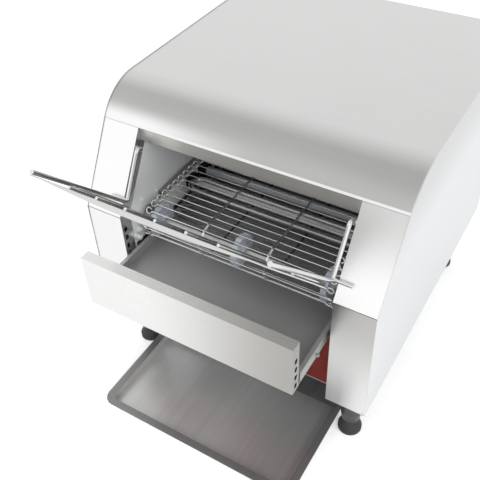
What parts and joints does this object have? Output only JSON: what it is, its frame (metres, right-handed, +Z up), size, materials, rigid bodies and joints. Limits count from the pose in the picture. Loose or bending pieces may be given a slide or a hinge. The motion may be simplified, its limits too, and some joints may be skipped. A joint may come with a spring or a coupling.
{
  "type": "conveyor toaster",
  "caption": "Countertop conveyor toaster with a sloped loading rack, a wire belt between heaters, a pull-out crumb drawer and a catch tray under the body.",
  "frame": {"origin": "on the counter surface, at the middle of the machine's whole footprint as it stands", "axes": "+Z up, +X to the operator's right, +Y to the back of the machine"},
  "size_m": [0.368, 0.5482, 0.3982],
  "materials": {
    "casing_steel": "brushed stainless sheet, grain across the machine",
    "inner_steel": "satin stainless sheet, slightly duller than the casing",
    "tray_steel": "finely brushed stainless sheet",
    "bright_wire": "bright drawn stainless wire",
    "belt_wire": "bright flat-flex belt wire, lightly heat-stained",
    "shaft_steel": "turned steel",
    "sprocket_plastic": "pale blue-grey moulded high-temperature plastic",
    "bush_bronze": "sintered bronze",
    "chain_steel": "oiled dark steel",
    "motor_paint": "dark grey paint",
    "control_red": "satin red paint",
    "quartz": "frosted quartz",
    "ceramic": "white steatite ceramic",
    "dark_ceramic": "dark heat-proof ceramic",
    "element_sheath": "metal-sheathed element, heat-tinted",
    "black_plastic": "black moulded plastic",
    "leg_black": "black satin plastic",
    "foot_rubber": "black rubber",
    "red_switch": "glossy red plastic",
    "black_switch": "glossy black plastic",
    "lamp_amber": "amber lens",
    "board_green": "green circuit board",
    "block_white": "white nylon",
    "screw_steel": "plated steel"
  },
  "bodies": {
    "casing": {"left_side_panel": "casing_steel", "right_side_panel": "casing_steel", "top_cover": "casing_steel", "rear_panel": "casing_steel", "base_pan": "inner_steel", "left_fascia": "casing_steel", "right_fascia": "casing_steel", "hood_lip": "casing_steel", "left_post": "casing_steel", "right_post": "casing_steel", "control_panel": "control_red", "left_inner_wall": "inner_steel", "right_inner_wall": "inner_steel", "upper_reflector": "inner_steel", "upper_quartz_tubes": "quartz", "heater_end_caps": "ceramic", "lower_quartz_tubes": "quartz", "lower_elements": "element_sheath", "heater_blocks": "dark_ceramic", "element_terminals": "ceramic", "belt_rails": "inner_steel", "belt": "belt_wire", "shaft_bearings": "bush_bronze", "drive_chain": "chain_steel", "gear_motor": "motor_paint", "motor_bracket": "inner_steel", "fan_frame": "black_plastic", "fan_guard": "bright_wire", "terminal_block": "block_white", "speed_board": "board_green", "cable_gland": "black_plastic", "discharge_chute": "inner_steel", "chute_cover": "inner_steel", "bay_cover": "inner_steel", "drawer_runners": "inner_steel", "legs": "leg_black", "speed_control": "motor_paint", "switch_bodies": "black_plastic", "indicator_lamp": "lamp_amber", "casing_screws": "screw_steel"},
    "crumb_drawer": {"crumb_drawer": "tray_steel", "drawer_front": "casing_steel"},
    "catch_tray": {"catch_tray": "tray_steel"},
    "loading_rack": {"loading_rack": "bright_wire", "rack_sheet": "tray_steel"},
    "front_roller": {"front_shaft": "shaft_steel", "front_sprockets": "sprocket_plastic"},
    "rear_roller": {"rear_shaft": "shaft_steel", "rear_sprockets": "sprocket_plastic", "chain_wheel": "shaft_steel"},
    "motor_output": {"motor_shaft": "shaft_steel", "motor_wheel": "shaft_steel"},
    "fan": {"fan_rotor": "black_plastic"},
    "speed_knob": {"speed_knob": "black_plastic"},
    "power_rocker": {"power_rocker": "red_switch"},
    "heat_rocker": {"heat_rocker": "black_switch"},
    "foot_front_left": {"foot_front_left": "foot_rubber"},
    "foot_front_right": {"foot_front_right": "foot_rubber"},
    "foot_rear_left": {"foot_rear_left": "foot_rubber"},
    "foot_rear_right": {"foot_rear_right": "foot_rubber"}
  },
  "joints": [
    {"name": "drawer_slide", "type": "slide", "parent": "casing", "child": "crumb_drawer", "axis": [0, -1, 0], "range_m": [-0.074, 0.18]},
    {"name": "catch_tray_slide", "type": "slide", "parent": "casing", "child": "catch_tray", "axis": [0, -1, 0], "range_m": [-0.05, 0.15]},
    {"name": "rack_lift", "type": "hinge", "parent": "casing", "child": "loading_rack", "pos_m": [0, -0.1089, 0.32236], "axis": [-1, 0, 0], "range_deg": [0, 75]},
    {"name": "rear_shaft_spin", "type": "hinge", "parent": "casing", "child": "rear_roller", "pos_m": [0, 0.17572, 0.2285], "axis": [-1, 0, 0], "continuous": true},
    {"name": "front_shaft_spin", "type": "hinge", "parent": "casing", "child": "front_roller", "pos_m": [0, -0.11288, 0.2285], "axis": [-1, 0, 0], "continuous": true},
    {"name": "motor_spin", "type": "hinge", "parent": "casing", "child": "motor_output", "pos_m": [0, -0.01422, 0.14], "axis": [-1, 0, 0], "continuous": true},
    {"name": "fan_spin", "type": "hinge", "parent": "casing", "child": "fan", "pos_m": [-0.07, -0.08588, 0.0932], "axis": [0, 0, 1], "continuous": true},
    {"name": "speed_knob_turn", "type": "hinge", "parent": "casing", "child": "speed_knob", "pos_m": [-0.06, -0.13988, 0.141], "axis": [0, -1, 0], "range_deg": [-135, 135]},
    {"name": "power_rocker_tip", "type": "hinge", "parent": "casing", "child": "power_rocker", "pos_m": [0.022, -0.13488, 0.141], "axis": [-1, 0, 0], "range_deg": [0, 18]},
    {"name": "heat_rocker_tip", "type": "hinge", "parent": "casing", "child": "heat_rocker", "pos_m": [0.066, -0.13488, 0.141], "axis": [-1, 0, 0], "range_deg": [0, 18]},
    {"name": "foot_front_left_screw", "type": "slide", "parent": "casing", "child": "foot_front_left", "axis": [0, 0, 1], "range_m": [-0.02, 0]},
    {"name": "foot_front_right_screw", "type": "slide", "parent": "casing", "child": "foot_front_right", "axis": [0, 0, 1], "range_m": [-0.02, 0]},
    {"name": "foot_rear_left_screw", "type": "slide", "parent": "casing", "child": "foot_rear_left", "axis": [0, 0, 1], "range_m": [-0.02, 0]},
    {"name": "foot_rear_right_screw", "type": "slide", "parent": "casing", "child": "foot_rear_right", "axis": [0, 0, 1], "range_m": [-0.02, 0]}
  ],
  "couplings": [
    {"joint": "front_shaft_spin", "follows": "rear_shaft_spin", "ratio": 1},
    {"joint": "motor_spin", "follows": "rear_shaft_spin", "ratio": 1}
  ]
}
